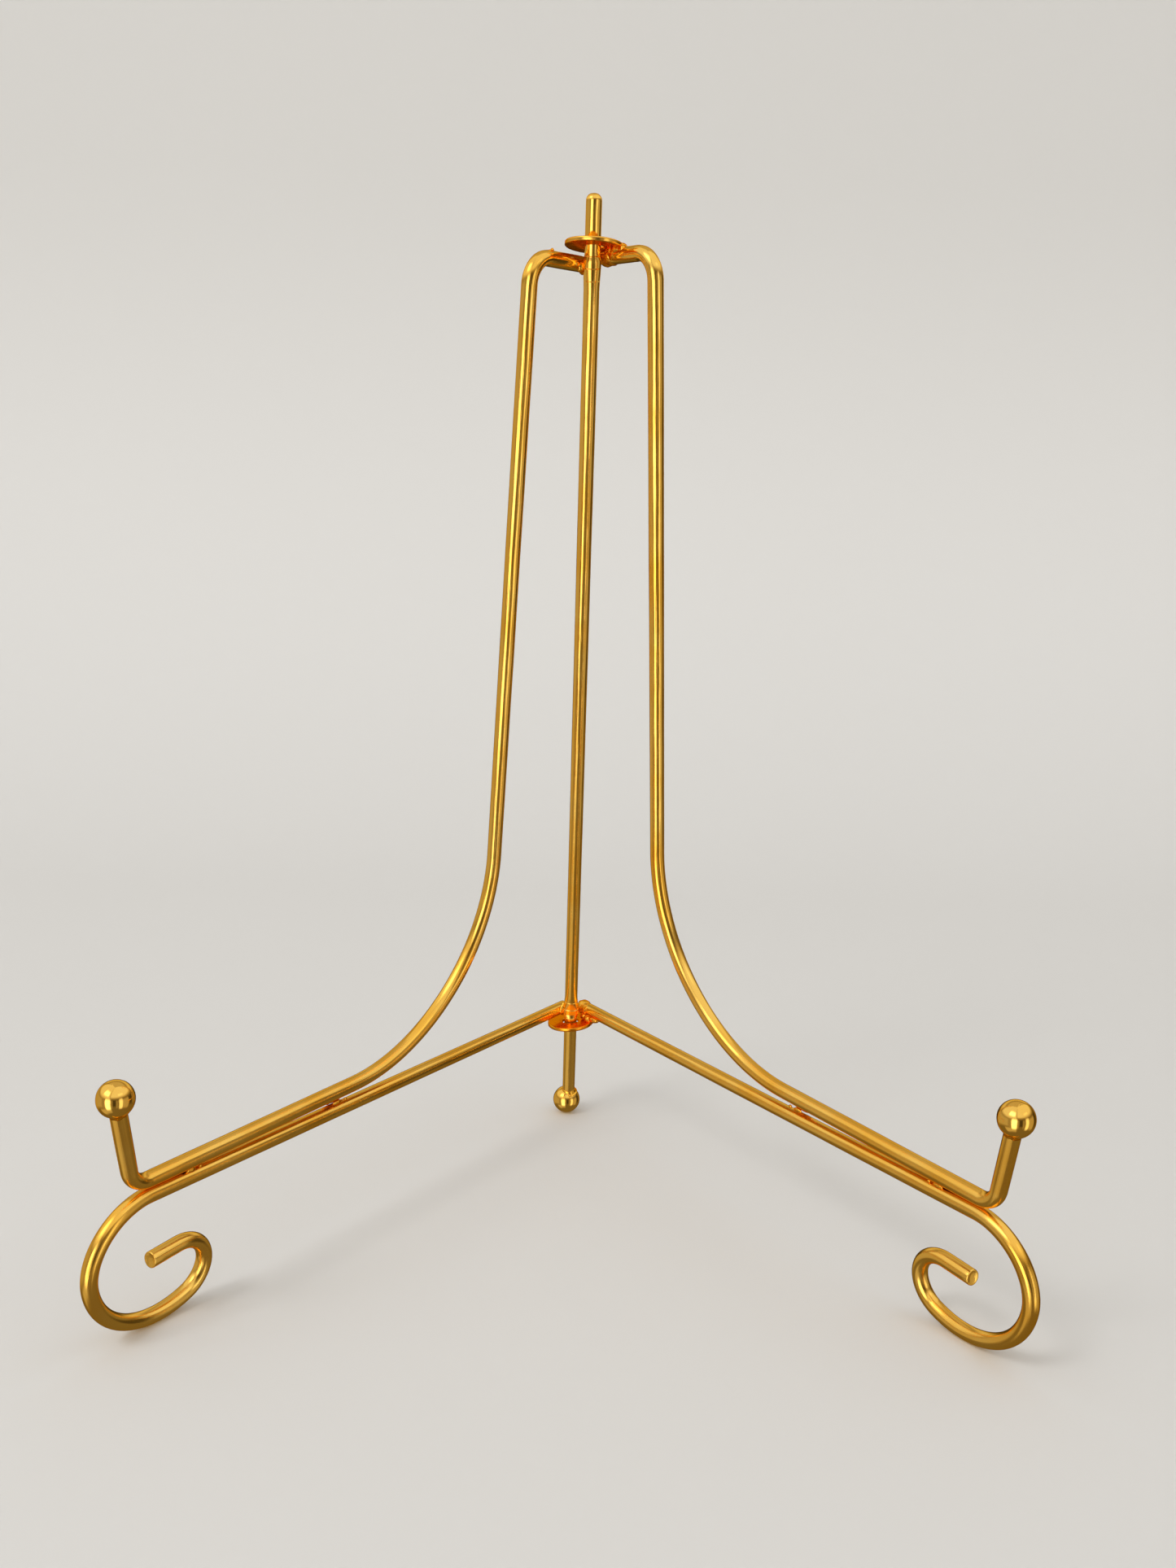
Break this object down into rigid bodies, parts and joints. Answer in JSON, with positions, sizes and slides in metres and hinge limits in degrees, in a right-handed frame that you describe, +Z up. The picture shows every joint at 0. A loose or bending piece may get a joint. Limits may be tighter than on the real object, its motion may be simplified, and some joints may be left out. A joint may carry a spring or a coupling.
{
  "type": "wire display easel",
  "caption": "Folding plate stand of round gold-plated wire: leaning rear post on a ball foot and scrolled wings with ball-ended hooks, one wing swinging on washers.",
  "frame": {"origin": "centre of the bounding box in plan, on the surface the stand rests on", "axes": "+Z up, -Y towards the front where the hooks are, +X to the right as seen from the front; the wings open towards -Y and the rear post leans forward over its ball foot"},
  "size_m": [0.2162, 0.1726, 0.2715],
  "materials": {
    "plated_wire": "bright gold-coloured plating over drawn steel wire, faint lengthwise draw lines",
    "polished_ball": "polished gold-coloured plating",
    "plated_washer": "gold-coloured plating over stamped sheet, slightly satin",
    "weld_metal": "uneven weld beads under the same plating, satin"
  },
  "bodies": {
    "post_and_left_wing": {"back_post": "plated_wire", "foot_ball": "polished_ball", "foot_ball_weld": "weld_metal", "left_front_wire": "plated_wire", "left_scroll_leg": "plated_wire", "left_hook_ball": "polished_ball", "left_hook_ball_weld": "weld_metal", "left_inner_seam_weld": "weld_metal", "left_outer_seam_weld": "weld_metal", "left_top_arm_weld": "weld_metal", "left_lower_arm_weld": "weld_metal"},
    "right_wing": {"right_front_wire": "plated_wire", "right_scroll_leg": "plated_wire", "right_hook_ball": "polished_ball", "right_hook_ball_weld": "weld_metal", "right_inner_seam_weld": "weld_metal", "right_outer_seam_weld": "weld_metal", "top_washer": "plated_washer", "bottom_washer": "plated_washer", "top_washer_weld": "weld_metal", "bottom_washer_weld": "weld_metal"}
  },
  "joints": [
    {"name": "right_wing_hinge", "type": "hinge", "parent": "post_and_left_wing", "child": "right_wing", "pos_m": [-0.00056, 0.08197, 0.00437], "axis": [0.0093, -0.3309, 0.9436], "range_deg": [-67, 30]}
  ]
}
